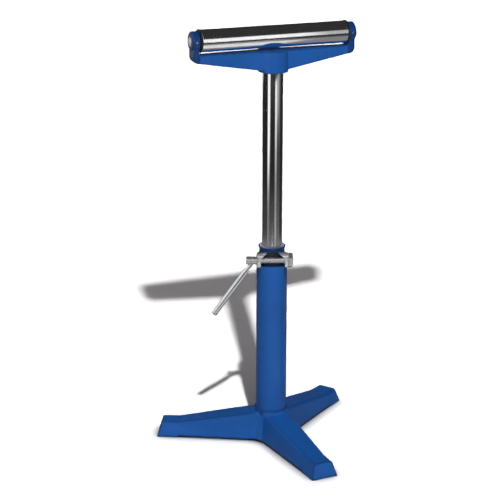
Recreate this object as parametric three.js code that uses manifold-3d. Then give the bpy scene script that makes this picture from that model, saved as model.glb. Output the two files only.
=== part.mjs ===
// Height-adjustable roller stand: three-legged cast base, fixed column, sliding chromed post and a yoke
// that carries one free-running roller. Millimetres, +Z up, floor at z = 0, one leg along -X.
import * as THREE from "three";
import { mergeVertices } from "three/addons/utils/BufferGeometryUtils.js";
import Module from "manifold-3d";

const wasm = await Module();
wasm.setup();

// Fits and edges
const slideFit = 0.1; // radial, post in its guide
const pressFit = 0.15; // radial, pieces that stay together
const faceGap = 0.3; // between faces that rest on each other
const edgeBreak = 1; // chamfer on turned edges

// Base casting
const legReach = 261;
const legLift = 2.5; // underside of the legs above the floor
const padLength = 47;
const toeHeight = 33.2;
const toeSetback = 10.6;
const toeFlat = 40;
const toeTopHalf = 22.4;
const toeFootHalf = 31.2;
const legTopSpread = 0.035; // half width gained per millimetre towards the hub
const legFootSpread = 0.041;
const topRound = 8; // radius along the top edges of the legs
const castWall = 6;
const hubRim = 4.8; // hub casting round the column
const hubHeight = 73;
const hubRimRise = 6;
const hubStep = 4.4; // hub wall left standing above the legs
const hubSkirt = 13; // hub spreads by this towards the floor, between the legs
const hubLedge = 8;
const hubOpening = 24;
const columnScrewRadius = 4;
const columnScrewDrop = 13;

// Column and its buffer plug
const columnRadius = 34.5;
const columnWall = 3.5;
const columnLength = 408.7;
const plugHeight = 6;

// Guide sleeve in the column's mouth
const sleeveSeat = 12; // length inside the column
const sleeveShown = 8.5; // length above the clamp ring
const windowMargin = 8;
const windowSill = 2;
const windowRise = 1.5; // the window rises this far above the ears

// Clamp ring, cross bolt and lever
const clampTurn = 6; // degrees round the column
const ringHeight = 33; // over the ears
const bandHeight = 20.7;
const earReach = 0.2; // ears stand this far outside the column
const earThick = 7.7;
const earNose = 11.5; // ear in front of the bolt's axis
const earTail = 5.5; // ear above the band, behind the bolt's axis
const earRoot = 16;
const earCorner = 9;
const archRise = 16;
const archOpen = 2.8; // the arch breaks out through the ears' top by this much
const boltRadius = 6.4;
const shoeInset = 1.2; // brake shoe below the sleeve's outside
const boltPostGap = 4.6;
const boltTipRadius = 5;
const boltHeadFlats = 30;
const boltHeadThick = 9.5;
const nutRadius = 8.75;
const nutLength = 23.6;
const nutEndWall = 3.9;
const leverLean = 35.5; // degrees away from straight down, outward
const leverInset = 7; // from the ear to where the lever's centre line meets the bolt's axis
const leverLength = 153;
const leverRadius = 6.7;
const leverNeckRadius = 4.5;
const leverNeckLength = 24;
const leverTaper = 8;
const leverRootDepth = 2.4; // how far the rod's coped root sinks into the nut

// Post and the bush at its foot
const postRadius = 22.5;
const postWall = 3;
const postShown = 394.2; // between the sleeve and the yoke's hub
const liftLeft = 10.7; // travel left above this setting
const bushHeight = 14;
const postTail = 3.7;
const clipThick = 2;
const clipDepth = 1.2;
const clipStand = 3.5;
const clipMouthWidth = 9;

// Head: the yoke turns about the post's axis
const headYaw = 24.6; // degrees
const yokeHubRim = 10.5; // hub casting round the post
const yokeHubHeight = 47.5;
const socketDepth = 30;
const yokeRootRise = 5.5;
const yokeEndDepth = 18;
const yokeDepth = 25;
const yokeRootDepth = 40; // the beam widens to this at the hub
const yokeBevel = 2;
const yokeCorner = 14;
const yokeFillet = 5;
const yokeScrewRadius = 4;
const yokeScrewRise = 15;
const armThick = 14.1;
const armDepth = 29; // arms stand proud of the beam, front and rear
const armHeadRadius = 21.4;
const bossRadius = 17.5;
const bossLength = 2.7; // boss outside the arm
const axleRadius = 10;
const axleStandOut = 0.8;
const grubRadius = 2.5;

// Roller, its bearings and end caps
const rollerHalf = 167.2;
const rollerRim = 3; // steel outside the bearing seats
const rollerShoulder = 1.1;
const rollerClear = 5; // under the roller
const endPlay = 1.2; // between the roller's caps and the yoke's arms
const bearingRadius = 21;
const bearingWidth = 12;
const bearingInset = 5;
const ballRadius = 3.1;
const ballCount = 9;
const ballFit = 0.25;
const landGap = 1.9; // ring lands stand this far either side of the ball circle
const cageHalf = 1.1;
const capLip = 3.7;
const capLipRise = 1.15; // lip above the roller's surface
const capClear = 1.2;

// Facets round a turned piece, a small one and a screw
const round = 40;
const fine = 24;
const coarse = 14;

// Heights that follow from the sizes above
const hubTop = hubHeight - hubRimRise;
const columnFloor = hubLedge + faceGap;
const columnTop = columnFloor + columnLength;
const ringBottom = columnTop + faceGap;
const ringTop = ringBottom + ringHeight;
const bandTop = ringBottom + bandHeight;
const sleeveBottom = columnTop - sleeveSeat;
const sleeveTop = ringTop + sleeveShown;
const boltHeight = ringBottom + ringHeight / 2;
const bushTop = sleeveBottom - liftLeft - clipThick - faceGap;
const bushBottom = bushTop - bushHeight;
const postBottom = bushBottom - faceGap - clipThick - postTail;
const yokeHubBottom = sleeveTop + postShown;
const yokeTop = yokeHubBottom + yokeHubHeight;
const socketTop = yokeHubBottom + socketDepth;

// Radii and reaches that follow
const hubRadius = columnRadius + hubRim;
const columnInner = columnRadius - columnWall;
const sleeveRadius = columnInner - faceGap;
const sleeveBore = postRadius + slideFit;
const ringBore = sleeveRadius + pressFit;
const earHalfSpan = columnRadius + earReach;
const boltForward = postRadius + boltPostGap + boltRadius;
const earFront = boltForward + earNose;
const yokeHubRadius = postRadius + yokeHubRim;
const rollerRadius = bearingRadius + pressFit + rollerRim;
const axisHeight = yokeTop + rollerClear + rollerRadius;
const lipInner = rollerHalf + faceGap;
const lipOuter = lipInner + capLip;
const armInner = lipOuter + endPlay;
const armOuter = armInner + armThick;
const bossEnd = armOuter + bossLength;
const bearingOuterFace = rollerHalf - bearingInset;
const bearingPitch = (axleRadius + bearingRadius) / 2;
const spacerRadius = bearingPitch - landGap - 0.6;

const finishes = {
  bluePaint: { color: 0x24508e, metalness: 0.1, roughness: 0.4 },
  chrome: { color: 0xd8dce0, metalness: 1, roughness: 0.12 },
  zinc: { color: 0xb4b7bb, metalness: 1, roughness: 0.35 },
  steel: { color: 0x8c9094, metalness: 1, roughness: 0.4 },
  blackOxide: { color: 0x26282a, metalness: 0.8, roughness: 0.5 },
  blackPlastic: { color: 0x17181a, metalness: 0, roughness: 0.6 },
};

// A geometry as a closed solid facing out
function solid(geometry) {
  const bare = new THREE.BufferGeometry();
  const loose = geometry.index ? geometry.toNonIndexed() : geometry;
  bare.setAttribute("position", loose.getAttribute("position"));
  const merged = mergeVertices(bare, 1e-4);
  const source = merged.index.array;
  const faces = [];
  for (let i = 0; i < source.length; i += 3) {
    const [a, b, c] = [source[i], source[i + 1], source[i + 2]];
    if (a !== b && b !== c && a !== c) faces.push(a, b, c);
  }
  const build = (list) =>
    new wasm.Manifold(
      new wasm.Mesh({
        numProp: 3,
        vertProperties: merged.attributes.position.array,
        triVerts: new Uint32Array(list),
      }),
    );
  const made = build(faces);
  if (made.volume() > 0) return made;
  return build(faces.reverse());
}

// Turned about Z from a closed outline of [radius, height] pairs
function turned(outline, facets = round) {
  const points = outline.concat([outline[0]]).map(([r, z]) => new THREE.Vector2(r, z));
  const geometry = new THREE.LatheGeometry(points, facets);
  geometry.rotateX(Math.PI / 2);
  return solid(geometry);
}

// The same, laid along X: the outline's height runs along +X
function turnedAlongX(outline, facets = round) {
  return turned(outline, facets).rotate([0, 90, 0]);
}

function rod(radius, from, to, facets = fine) {
  return turned([[0, from], [radius, from], [radius, to], [0, to]], facets);
}

// A flat outline in the X-Z plane, given depth along Y and centred on it
function slab(shape, depth, bevel = 0, curveSegments = 10) {
  const geometry = new THREE.ExtrudeGeometry(shape, {
    depth: depth - 2 * bevel,
    bevelEnabled: bevel > 0,
    bevelThickness: bevel,
    bevelSize: bevel,
    bevelOffset: -bevel,
    bevelSegments: 1,
    curveSegments,
  });
  geometry.translate(0, 0, bevel - depth / 2);
  geometry.rotateX(Math.PI / 2);
  return solid(geometry);
}

// Skin over matching rings of points, closed by a fan at each end
function loft(rings) {
  const n = rings[0].length;
  const vertices = rings.flat(2);
  const faces = [];
  for (let k = 0; k + 1 < rings.length; k++) {
    for (let i = 0; i < n; i++) {
      const a = k * n + i;
      const b = k * n + ((i + 1) % n);
      faces.push(a, b, b + n, a, b + n, a + n);
    }
  }
  const last = (rings.length - 1) * n;
  for (let i = 1; i + 1 < n; i++) {
    faces.push(0, i + 1, i, last, last + i, last + i + 1);
  }
  const geometry = new THREE.BufferGeometry();
  geometry.setAttribute("position", new THREE.Float32BufferAttribute(vertices, 3));
  geometry.setIndex(faces);
  return solid(geometry);
}

// An arch: straight sides up to the spring line, then half an ellipse
function arch(half, bottom, spring, top) {
  const shape = new THREE.Shape();
  shape.moveTo(-half, bottom);
  shape.lineTo(half, bottom);
  shape.lineTo(half, spring);
  shape.absellipse(0, spring, half, top - spring, 0, Math.PI, false);
  shape.closePath();
  return shape;
}

function hexagon(flats, thick) {
  const corner = flats / Math.sqrt(3);
  return new THREE.CylinderGeometry(corner, corner, thick, 6);
}

// A grub screw along +Z from its tip at 0, with a hexagon socket in the outer end
function grubScrew(radius, length) {
  const bevel = 0.8;
  const body = turned(
    [
      [0, 0],
      [radius - bevel, 0],
      [radius, bevel],
      [radius, length - bevel],
      [radius - bevel, length],
      [0, length],
    ],
    coarse,
  );
  const socket = hexagon(radius, length);
  socket.rotateX(Math.PI / 2);
  socket.translate(0, 0, length);
  return body.subtract(solid(socket));
}

const stand = new THREE.Group();
const clamp = new THREE.Group();
clamp.rotation.z = THREE.MathUtils.degToRad(clampTurn);
stand.add(clamp);
const head = new THREE.Group();
head.rotation.z = THREE.MathUtils.degToRad(headYaw);
stand.add(head);

function piece(group, name, made, finish) {
  const mesh = made.getMesh();
  const geometry = new THREE.BufferGeometry();
  geometry.setAttribute("position", new THREE.BufferAttribute(new Float32Array(mesh.vertProperties), 3));
  geometry.setIndex(new THREE.BufferAttribute(new Uint32Array(mesh.triVerts), 1));
  const shown = geometry.toNonIndexed();
  shown.computeVertexNormals();
  const part = new THREE.Mesh(shown, new THREE.MeshStandardMaterial(finishes[finish]));
  part.name = name;
  group.add(part);
}

// Base casting
const toeFlatFrom = legReach - toeSetback - toeFlat;
const padFrom = legReach - padLength;
const legTopRise = (hubTop - hubStep - toeHeight) / (toeFlatFrom - hubRadius);

function legTopAt(r) {
  return toeHeight + Math.max(0, toeFlatFrom - r) * legTopRise;
}

function legRing(r, bottom, inset, endSlope = 0) {
  const top = legTopAt(r) - inset;
  const inward = legReach - toeSetback - r;
  const half = toeTopHalf + inward * legTopSpread - inset;
  const draft = (toeFootHalf + inward * legFootSpread - inset - half) / top;
  const halfAt = (z) => half + (top - z) * draft;
  const reachAt = (z) => r + (endSlope * (top - z)) / toeHeight;
  const side = [[halfAt(bottom), bottom]];
  const startTilt = Math.atan(draft);
  const middleY = half - topRound * Math.tan((Math.PI / 2 - startTilt) / 2);
  for (let i = 0; i <= 3; i++) {
    const tilt = startTilt + ((Math.PI / 2 - startTilt) * i) / 3;
    side.push([middleY + topRound * Math.cos(tilt), top - topRound + topRound * Math.sin(tilt)]);
  }
  const mirrored = side.map(([y, z]) => [-y, z]).reverse();
  return side.concat(mirrored).map(([y, z]) => [reachAt(z), y, z]);
}

function leg() {
  const arm = loft([0, toeFlatFrom, padFrom + 2].map((r) => legRing(r, legLift, 0)));
  const toe = loft([legRing(padFrom, 0, 0), legRing(legReach - toeSetback, 0, 0, toeSetback)]);
  return arm.add(toe);
}

function legHollow() {
  return loft([legRing(hubRadius, -1, castWall), legRing(padFrom - castWall, -1, castWall)]);
}

const legTurns = [180, 60, -60];
const columnSeat = columnRadius + pressFit;
const hub = turned([
  [0, legLift],
  [hubRadius + hubSkirt, legLift],
  [hubRadius, hubTop - hubStep],
  [hubRadius, hubTop],
  [hubRadius - hubRim * 0.18, hubTop + hubRimRise * 0.45],
  [hubRadius - hubRim * 0.5, hubTop + hubRimRise * 0.83],
  [hubRadius - hubRim * 0.65, hubHeight],
  [0, hubHeight],
]);
const columnBore = turned([
  [0, legLift - 1],
  [hubOpening, legLift - 1],
  [hubOpening, hubLedge],
  [columnSeat, hubLedge],
  [columnSeat, hubHeight + 1],
  [0, hubHeight + 1],
]);
const columnScrewTurns = [120, 0];
const columnScrewHeight = hubTop - columnScrewDrop;
const screwHoleRadius = columnScrewRadius + pressFit;
const columnScrewHole = rod(screwHoleRadius, columnInner, hubRadius + hubRim, coarse).rotate([0, 90, 0]);
let base = hub;
for (const turn of legTurns) base = base.add(leg().rotate([0, 0, turn]));
for (const turn of legTurns) base = base.subtract(legHollow().rotate([0, 0, turn]));
base = base.subtract(columnBore);
for (const turn of columnScrewTurns) {
  base = base.subtract(columnScrewHole.translate([0, 0, columnScrewHeight]).rotate([0, 0, turn]));
}
piece(stand, "base_casting", base, "bluePaint");

const column = turned([
  [columnInner, columnFloor],
  [columnRadius, columnFloor],
  [columnRadius, columnTop - edgeBreak / 2],
  [columnRadius - edgeBreak / 2, columnTop],
  [columnInner, columnTop],
]);
piece(stand, "column_tube", column, "bluePaint");

const plugRadius = columnInner - pressFit;
const plugTop = columnFloor + plugHeight;
const plug = turned([
  [0, columnFloor],
  [plugRadius, columnFloor],
  [plugRadius, plugTop - edgeBreak],
  [plugRadius - edgeBreak, plugTop],
  [0, plugTop],
], fine);
piece(stand, "column_plug", plug, "blackPlastic");

columnScrewTurns.forEach((turn, i) => {
  const screw = grubScrew(columnScrewRadius, hubRadius - columnRadius - 0.4)
    .rotate([0, 90, 0])
    .translate([columnRadius + faceGap, 0, columnScrewHeight])
    .rotate([0, 0, turn]);
  piece(stand, `column_screw_${i + 1}`, screw, "blackOxide");
});

// Guide sleeve
const sleeveBlank = turned([
  [sleeveBore, sleeveBottom],
  [sleeveRadius - edgeBreak, sleeveBottom],
  [sleeveRadius, sleeveBottom + edgeBreak],
  [sleeveRadius, sleeveTop - edgeBreak],
  [sleeveRadius - edgeBreak, sleeveTop],
  [sleeveBore + edgeBreak, sleeveTop],
  [sleeveBore, sleeveTop - 2 * edgeBreak],
]);
const archSpring = ringBottom + archRise;
const windowHalf = Math.sqrt(sleeveRadius ** 2 - (boltForward - boltRadius) ** 2) + windowMargin;
const windowShape = arch(windowHalf, columnTop + windowSill, archSpring, ringTop + windowRise);
const sleeveWindow = slab(windowShape, 2 * sleeveRadius).translate([0, -sleeveRadius - sleeveBore / 4, 0]);
piece(clamp, "guide_sleeve", sleeveBlank.subtract(sleeveWindow), "bluePaint");

// Clamp ring with two ears
const ringBand = turned([
  [ringBore - 1, ringBottom],
  [columnRadius - edgeBreak / 2, ringBottom],
  [columnRadius, ringBottom + edgeBreak / 2],
  [columnRadius, bandTop - edgeBreak],
  [columnRadius - edgeBreak, bandTop],
  [ringBore - 1, bandTop],
]);

function earBlock() {
  const ear = new THREE.Shape();
  ear.moveTo(earRoot, ringBottom);
  ear.lineTo(earFront - earCorner, ringBottom);
  ear.quadraticCurveTo(earFront, ringBottom, earFront, ringBottom + earCorner);
  ear.lineTo(earFront, ringTop - earCorner);
  ear.quadraticCurveTo(earFront, ringTop, earFront - earCorner, ringTop);
  ear.lineTo(boltForward - earTail, ringTop);
  ear.lineTo(boltForward - earTail, bandTop + edgeBreak);
  ear.lineTo(earRoot, bandTop - edgeBreak);
  ear.closePath();
  return slab(ear, 2 * earHalfSpan, edgeBreak).rotate([0, 0, -90]);
}

const ringHole = rod(ringBore, ringBottom - 1, ringTop + 1, round);
const archHalf = earHalfSpan - earThick;
const gapShape = arch(archHalf, ringBottom - 1, archSpring, ringTop + archOpen);
const ringGap = slab(gapShape, 2 * earFront).translate([0, -earFront - earRoot, 0]);
const onBolt = [0, -boltForward, boltHeight];
const crossHole = rod(boltRadius + faceGap, -earHalfSpan - 1, earHalfSpan + 1)
  .rotate([0, 90, 0])
  .translate(onBolt);
const clampRing = ringBand.add(earBlock()).subtract(ringHole).subtract(ringGap).subtract(crossHole);
piece(clamp, "clamp_ring", clampRing, "zinc");

// Cross bolt: head on the right, turned-down thread on the left
const headFace = earHalfSpan + faceGap;
const nutFace = -(earHalfSpan + faceGap);
const nutEnd = nutFace - nutLength;
const boreFloor = nutEnd + nutEndWall;
const boltTip = boreFloor + faceGap;
const boltHead = hexagon(boltHeadFlats, boltHeadThick);
boltHead.rotateZ(Math.PI / 2);
boltHead.translate(headFace + boltHeadThick / 2, 0, 0);
const headCone = turnedAlongX(
  [
    [0, headFace],
    [boltHeadFlats * 0.6, headFace],
    [boltHeadFlats * 0.6, headFace + boltHeadThick - 2.4],
    [boltHeadFlats * 0.47, headFace + boltHeadThick],
    [0, headFace + boltHeadThick],
  ],
  fine,
);
const boltShank = turnedAlongX(
  [
    [0, boltTip],
    [boltTipRadius - edgeBreak, boltTip],
    [boltTipRadius, boltTip + edgeBreak],
    [boltTipRadius, edgeBreak - earHalfSpan],
    [boltRadius, edgeBreak - earHalfSpan + boltRadius - boltTipRadius],
    [boltRadius, headFace + 1],
    [0, headFace + 1],
  ],
  fine,
);
const bolt = solid(boltHead).intersect(headCone).add(boltShank).translate(onBolt);
piece(clamp, "clamp_bolt", bolt, "zinc");

// Brake shoe in the sleeve's window, between the bolt and the post
const shoeShape = arch(
  windowHalf - faceGap,
  columnTop + windowSill + faceGap,
  archSpring,
  ringTop + windowRise - faceGap,
);
const shoeBlank = turned([
  [postRadius + faceGap, columnTop],
  [sleeveRadius - shoeInset, columnTop],
  [sleeveRadius - shoeInset, sleeveTop],
  [postRadius + faceGap, sleeveTop],
]);
const boltRun = rod(boltRadius + faceGap, -columnRadius, columnRadius).rotate([0, 90, 0]).translate(onBolt);
const shoe = shoeBlank
  .intersect(slab(shoeShape, 2 * columnRadius).translate([0, -columnRadius - sleeveBore / 4, 0]))
  .subtract(boltRun);
piece(clamp, "brake_shoe", shoe, "blackPlastic");

// Lever: a long nut with a leaning rod
const nutBore = boltTipRadius + pressFit;
const nutBlank = turnedAlongX(
  [
    [nutBore, nutFace],
    [nutRadius, nutFace],
    [nutRadius, nutEnd + edgeBreak],
    [nutRadius - edgeBreak, nutEnd],
    [0, nutEnd],
    [0, boreFloor],
    [nutBore, boreFloor],
  ],
  fine,
);

function alongLever(made) {
  return made.rotate([0, 180 + leverLean, 0]).translate([nutFace - leverInset, 0, 0]);
}

const leverRod = turned(
  [
    [0, 0],
    [leverNeckRadius, 0],
    [leverNeckRadius, leverNeckLength],
    [leverRadius, leverNeckLength + leverTaper],
    [leverRadius, leverLength - edgeBreak],
    [leverRadius - edgeBreak, leverLength],
    [0, leverLength],
  ],
  fine,
);
const aroundBolt = (radius) => rod(radius, nutEnd - nutRadius, 0).rotate([0, 90, 0]);
const rootCope = nutRadius - leverRootDepth;
const leverSocket = alongLever(rod(leverNeckRadius + pressFit, 0, leverNeckLength))
  .subtract(aroundBolt(rootCope - faceGap));
piece(clamp, "lever_nut", nutBlank.subtract(leverSocket).translate(onBolt), "zinc");
piece(clamp, "lever_rod", alongLever(leverRod).subtract(aroundBolt(rootCope)).translate(onBolt), "zinc");

// Post, foot bush and its two clips
const grooveFloor = postRadius - clipDepth;
const clipSpots = [bushBottom - faceGap - clipThick, bushTop + faceGap];
const grooveEdges = clipSpots.flatMap((z) => [
  [postRadius, z - pressFit],
  [grooveFloor, z - pressFit],
  [grooveFloor, z + clipThick + pressFit],
  [postRadius, z + clipThick + pressFit],
]);
const postInner = postRadius - postWall;
const post = turned(
  [[postInner, postBottom], [postRadius - edgeBreak, postBottom], [postRadius, postBottom + edgeBreak]]
    .concat(grooveEdges)
    .concat([[postRadius, socketTop], [postInner, socketTop]]),
);
piece(head, "post_tube", post, "chrome");

const bush = turned([
  [sleeveBore, bushBottom],
  [sleeveRadius - edgeBreak, bushBottom],
  [sleeveRadius, bushBottom + edgeBreak],
  [sleeveRadius, bushTop - edgeBreak],
  [sleeveRadius - edgeBreak, bushTop],
  [sleeveBore, bushTop],
]);
piece(stand, "foot_bush", bush, "blackPlastic");

const clipRadius = postRadius + clipStand;
const clipMouth = new THREE.BoxGeometry(clipMouthWidth, 2 * clipRadius, 4 * clipThick);
clipMouth.translate(0, clipRadius, clipThick);
clipSpots.forEach((z, i) => {
  const band = turned([
    [grooveFloor + pressFit, 0],
    [clipRadius, 0],
    [clipRadius, clipThick],
    [grooveFloor + pressFit, clipThick],
  ]);
  const clip = band.subtract(solid(clipMouth)).translate([0, 0, z]);
  piece(head, `foot_clip_${i + 1}`, clip, "blackOxide");
});

// Yoke casting
function yokeOutline() {
  const shape = new THREE.Shape();
  const cornerRun = armOuter - yokeCorner;
  const yokeRootHeight = yokeHubBottom + yokeRootRise;
  const yokeEndHeight = yokeTop - yokeEndDepth;
  shape.moveTo(-yokeHubRadius, yokeRootHeight);
  shape.lineTo(yokeHubRadius, yokeRootHeight);
  shape.lineTo(cornerRun, yokeEndHeight);
  shape.quadraticCurveTo(armOuter, yokeEndHeight + 1, armOuter, yokeEndHeight + yokeCorner);
  shape.lineTo(armOuter, axisHeight);
  shape.lineTo(armInner, axisHeight);
  shape.lineTo(armInner, yokeTop + yokeFillet);
  shape.quadraticCurveTo(armInner, yokeTop, armInner - yokeFillet, yokeTop);
  shape.lineTo(yokeFillet - armInner, yokeTop);
  shape.quadraticCurveTo(-armInner, yokeTop, -armInner, yokeTop + yokeFillet);
  shape.lineTo(-armInner, axisHeight);
  shape.lineTo(-armOuter, axisHeight);
  shape.lineTo(-armOuter, yokeEndHeight + yokeCorner);
  shape.quadraticCurveTo(-armOuter, yokeEndHeight + 1, -cornerRun, yokeEndHeight);
  shape.closePath();
  return shape;
}

// One arm, from the beam's corner up to the axle
function armOutline() {
  const shape = new THREE.Shape();
  const low = yokeTop - yokeEndDepth;
  shape.moveTo(armInner, low);
  shape.quadraticCurveTo(armOuter, low + 1, armOuter, low + yokeCorner);
  shape.lineTo(armOuter, axisHeight);
  shape.lineTo(armInner, axisHeight);
  shape.closePath();
  return shape;
}

// The beam between the arms, deepest and widest where it meets the hub
function yokeBeam() {
  const run = armInner - yokeFillet;
  const rootDrop = yokeHubHeight - yokeRootRise;
  const slope = (rootDrop - yokeEndDepth) / (armOuter - yokeCorner - yokeHubRadius);
  const ring = (x, half, drop) => {
    const low = yokeTop - drop;
    const side = [
      [half - yokeBevel, low],
      [half, low + yokeBevel],
      [half, yokeTop - yokeBevel],
      [half - yokeBevel, yokeTop],
    ];
    return side.concat(side.map(([y, z]) => [-y, z]).reverse()).map(([y, z]) => [x, y, z]);
  };
  const dropAt = (x) => rootDrop - slope * (x - yokeHubRadius);
  const root = ring(0, yokeRootDepth / 2, rootDrop);
  const half = (side) => loft([root, ring(side * yokeHubRadius * 0.8, yokeRootDepth / 2, rootDrop),
    ring(side * run, yokeDepth / 2, dropAt(run))]);
  return half(1).add(half(-1));
}

const onAxle = [0, 0, axisHeight];
const armEnd = turnedAlongX([
  [0, armInner],
  [armHeadRadius - edgeBreak, armInner],
  [armHeadRadius, armInner + edgeBreak],
  [armHeadRadius, armOuter - edgeBreak],
  [armHeadRadius - edgeBreak, armOuter],
  [bossRadius, armOuter],
  [bossRadius, bossEnd - edgeBreak],
  [bossRadius - edgeBreak, bossEnd],
  [0, bossEnd],
], 28).add(slab(armOutline(), armDepth, edgeBreak / 2, 6).translate([0, 0, -axisHeight])).translate(onAxle);
const yokeHub = turned([
  [0, yokeHubBottom],
  [yokeHubRadius - yokeBevel, yokeHubBottom],
  [yokeHubRadius, yokeHubBottom + yokeBevel],
  [yokeHubRadius, yokeTop - yokeBevel],
  [yokeHubRadius - yokeBevel, yokeTop],
  [0, yokeTop],
]);
const socket = rod(postRadius + pressFit, yokeHubBottom - 1, socketTop + faceGap, round);
const axleHole = rod(axleRadius + pressFit, -bossEnd - 1, bossEnd + 1).rotate([0, 90, 0]).translate(onAxle);
const grubAt = (armInner + armOuter) / 2;
const grubHole = rod(grubRadius + pressFit, axleRadius / 2, armHeadRadius + 1, coarse).rotate([90, 0, 0]);
const yokeScrewHeight = yokeHubBottom + yokeScrewRise;
const yokeScrewHole = rod(yokeScrewRadius + pressFit, postRadius - postWall, yokeHubRadius + 1, coarse)
  .rotate([-90, 0, 0])
  .translate([0, 0, yokeScrewHeight]);
const ends = [["left", -1], ["right", 1]];
let yoke = slab(yokeOutline(), yokeDepth, yokeBevel, 6).add(yokeBeam()).add(yokeHub);
for (const [, side] of ends) {
  yoke = yoke.add(side > 0 ? armEnd : armEnd.mirror([1, 0, 0]));
  yoke = yoke.subtract(grubHole.translate([side * grubAt, 0, axisHeight]));
}
yoke = yoke.subtract(socket).subtract(axleHole).subtract(yokeScrewHole);
piece(head, "yoke_casting", yoke, "bluePaint");

const yokeScrew = grubScrew(yokeScrewRadius, yokeHubRadius - postRadius - 1)
  .rotate([-90, 0, 0])
  .translate([0, postRadius + faceGap, yokeScrewHeight]);
piece(head, "yoke_screw", yokeScrew, "blackOxide");

// Axle and what sits on it
const axleEnd = bossEnd + axleStandOut;
const axle = turnedAlongX(
  [
    [0, -axleEnd],
    [axleRadius - edgeBreak, -axleEnd],
    [axleRadius, edgeBreak - axleEnd],
    [axleRadius, axleEnd - edgeBreak],
    [axleRadius - edgeBreak, axleEnd],
    [0, axleEnd],
  ],
  fine,
).translate(onAxle);
piece(head, "axle", axle, "steel");

// Roller tube, counterbored at both ends for the bearings
const seatRadius = bearingRadius + pressFit;
const rollerInner = seatRadius - rollerShoulder;
const seatFloor = bearingOuterFace - bearingWidth - faceGap;
const rollerTube = turnedAlongX([
  [seatRadius, -rollerHalf],
  [rollerRadius - edgeBreak, -rollerHalf],
  [rollerRadius, edgeBreak - rollerHalf],
  [rollerRadius, rollerHalf - edgeBreak],
  [rollerRadius - edgeBreak, rollerHalf],
  [seatRadius, rollerHalf],
  [seatRadius, seatFloor],
  [rollerInner, seatFloor],
  [rollerInner, -seatFloor],
  [seatRadius, -seatFloor],
]).translate(onAxle);
piece(head, "roller_tube", rollerTube, "chrome");

// Part circle of a bearing groove, from one land to the other
const grooveRadius = ballRadius + ballFit;

function groove(middle, outward) {
  const reach = Math.asin(landGap / grooveRadius);
  const steps = 3;
  const arc = [];
  for (let i = 0; i <= steps; i++) {
    const t = reach + ((Math.PI - 2 * reach) * i) / steps;
    const r = bearingPitch + outward * grooveRadius * Math.sin(t);
    arc.push([r, middle - grooveRadius * Math.cos(t)]);
  }
  return arc;
}

const capInner = bearingOuterFace + faceGap;
const capHole = spacerRadius + capClear;
const capLipRadius = rollerRadius + capLipRise;
for (const [end, side] of ends) {
  const place = (made) => (side > 0 ? made : made.mirror([1, 0, 0])).translate(onAxle);
  const near = bearingOuterFace - bearingWidth;
  const middle = bearingOuterFace - bearingWidth / 2;
  const innerRing = turnedAlongX(
    [[axleRadius + pressFit, near], [bearingPitch - landGap, near]]
      .concat(groove(middle, -1))
      .concat([[bearingPitch - landGap, bearingOuterFace], [axleRadius + pressFit, bearingOuterFace]]),
    fine,
  );
  const outerRing = turnedAlongX(
    [[bearingRadius, near], [bearingPitch + landGap, near]]
      .concat(groove(middle, 1))
      .concat([[bearingPitch + landGap, bearingOuterFace], [bearingRadius, bearingOuterFace]]),
    fine,
  );
  let cage = turnedAlongX(
    [
      [bearingPitch - cageHalf, middle - cageHalf],
      [bearingPitch + cageHalf, middle - cageHalf],
      [bearingPitch + cageHalf, middle + cageHalf],
      [bearingPitch - cageHalf, middle + cageHalf],
    ],
    2 * ballCount,
  );
  for (let i = 0; i < ballCount; i++) {
    const ball = solid(new THREE.SphereGeometry(ballRadius, 6, 4));
    cage = cage.add(ball.translate([middle, 0, bearingPitch]).rotate([(360 * i) / ballCount, 0, 0]));
  }
  const spacer = turnedAlongX(
    [
      [axleRadius + pressFit, bearingOuterFace + faceGap],
      [spacerRadius, bearingOuterFace + faceGap],
      [spacerRadius, armInner - faceGap],
      [axleRadius + pressFit, armInner - faceGap],
    ],
    fine,
  );
  const cap = turnedAlongX([
    [capHole, capInner],
    [bearingRadius, capInner],
    [bearingRadius, lipInner],
    [capLipRadius, lipInner],
    [capLipRadius, lipOuter - edgeBreak],
    [capLipRadius - edgeBreak, lipOuter],
    [capHole, lipOuter],
  ], round);
  piece(head, `bearing_inner_${end}`, place(innerRing), "steel");
  piece(head, `bearing_outer_${end}`, place(outerRing), "steel");
  piece(head, `ball_cage_${end}`, place(cage), "steel");
  piece(head, `axle_spacer_${end}`, place(spacer), "steel");
  piece(head, `roller_cap_${end}`, place(cap), "blackPlastic");

  const grub = grubScrew(grubRadius, armHeadRadius - axleRadius - 0.8)
    .rotate([90, 0, 0])
    .translate([side * grubAt, -axleRadius - faceGap, axisHeight]);
  piece(head, `axle_grub_${end}`, grub, "zinc");
}

// The part's origin is the middle of its footprint on the floor
stand.updateMatrixWorld(true);
const middleOfAll = new THREE.Box3().setFromObject(stand, true).getCenter(new THREE.Vector3());
stand.position.set(-middleOfAll.x, -middleOfAll.y, 0);

const group = new THREE.Group();
group.add(stand);

export default group;
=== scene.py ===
import math
import bpy
import bmesh
from mathutils import Matrix, Vector


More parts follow.
